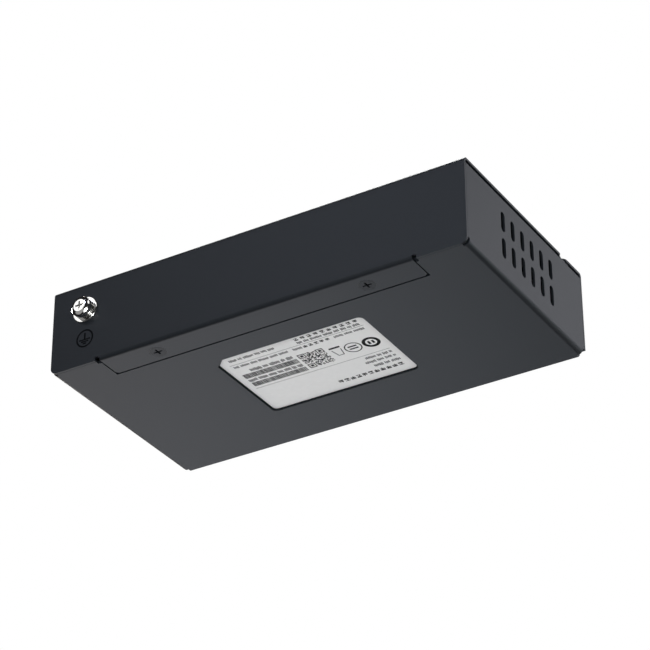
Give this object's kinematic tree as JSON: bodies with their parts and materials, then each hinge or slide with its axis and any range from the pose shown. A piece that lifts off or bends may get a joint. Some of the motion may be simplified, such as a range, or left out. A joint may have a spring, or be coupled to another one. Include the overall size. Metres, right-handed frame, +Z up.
{
  "type": "ethernet switch",
  "caption": "Desktop network switch in a flat folded sheet-metal case with side vents, front ports, a power inlet and a rear ground screw.",
  "frame": {"origin": "centre of the case's underside, on the plane that it rests on", "axes": "+Z up, ports face -Y, ground screw on the rear wall at +Y towards +X; left is -X seen from the front"},
  "size_m": [0.148, 0.0813, 0.03],
  "materials": {
    "case_paint": "fine matt powder coat, dark blue-grey",
    "black_screw": "black oxide, satin",
    "nickel": "bright nickel plate",
    "zinc": "zinc plate",
    "label_film": "silver-grey printed film",
    "board_laminate": "green solder mask",
    "chip_plastic": "moulded epoxy",
    "thermal_rubber": "soft pad",
    "bare_aluminium": "drawn, bare",
    "fuse_ceramic": "glazed",
    "black_plastic": "glass-filled moulding",
    "shield_steel": "tinned sheet",
    "light_plastic": "clear light pipe",
    "gold_contact": "gold flash"
  },
  "bodies": {
    "root": {"base_tray": "case_paint", "top_cover": "case_paint", "cover_screw_left": "black_screw", "cover_screw_right": "black_screw", "ground_screw": "nickel", "ground_spring_washer": "nickel", "ground_flat_washer": "nickel", "ground_nut": "zinc", "bottom_label": "label_film", "circuit_board": "board_laminate", "switch_chip": "chip_plastic", "thermal_pad": "thermal_rubber", "heat_sink": "bare_aluminium", "crystal": "zinc", "memory_chip": "chip_plastic", "regulator_chip": "chip_plastic", "fuse": "fuse_ceramic", "chip_resistors": "fuse_ceramic", "power_jack_housing": "black_plastic", "power_jack_pin": "nickel", "power_jack_spring": "nickel", "power_led": "light_plastic", "board_standoff_1": "zinc", "board_screw_1": "zinc", "transformer_1": "chip_plastic", "board_standoff_2": "zinc", "board_screw_2": "zinc", "transformer_2": "chip_plastic", "board_standoff_3": "zinc", "board_screw_3": "zinc", "transformer_3": "chip_plastic", "board_standoff_4": "zinc", "board_screw_4": "zinc", "transformer_4": "chip_plastic", "capacitor_1": "bare_aluminium", "capacitor_2": "bare_aluminium", "capacitor_3": "bare_aluminium", "inductor_1": "chip_plastic", "inductor_2": "chip_plastic", "port_housing_left": "black_plastic", "port_shield_left": "shield_steel", "port_leds_left": "light_plastic", "port_housing_right": "black_plastic", "port_shield_right": "shield_steel", "port_leds_right": "light_plastic", "port_contacts_1": "gold_contact", "port_contacts_2": "gold_contact", "port_contacts_3": "gold_contact", "port_contacts_4": "gold_contact", "port_contacts_5": "gold_contact", "port_contacts_6": "gold_contact", "port_contacts_7": "gold_contact", "port_contacts_8": "gold_contact"}
  },
  "joints": []
}
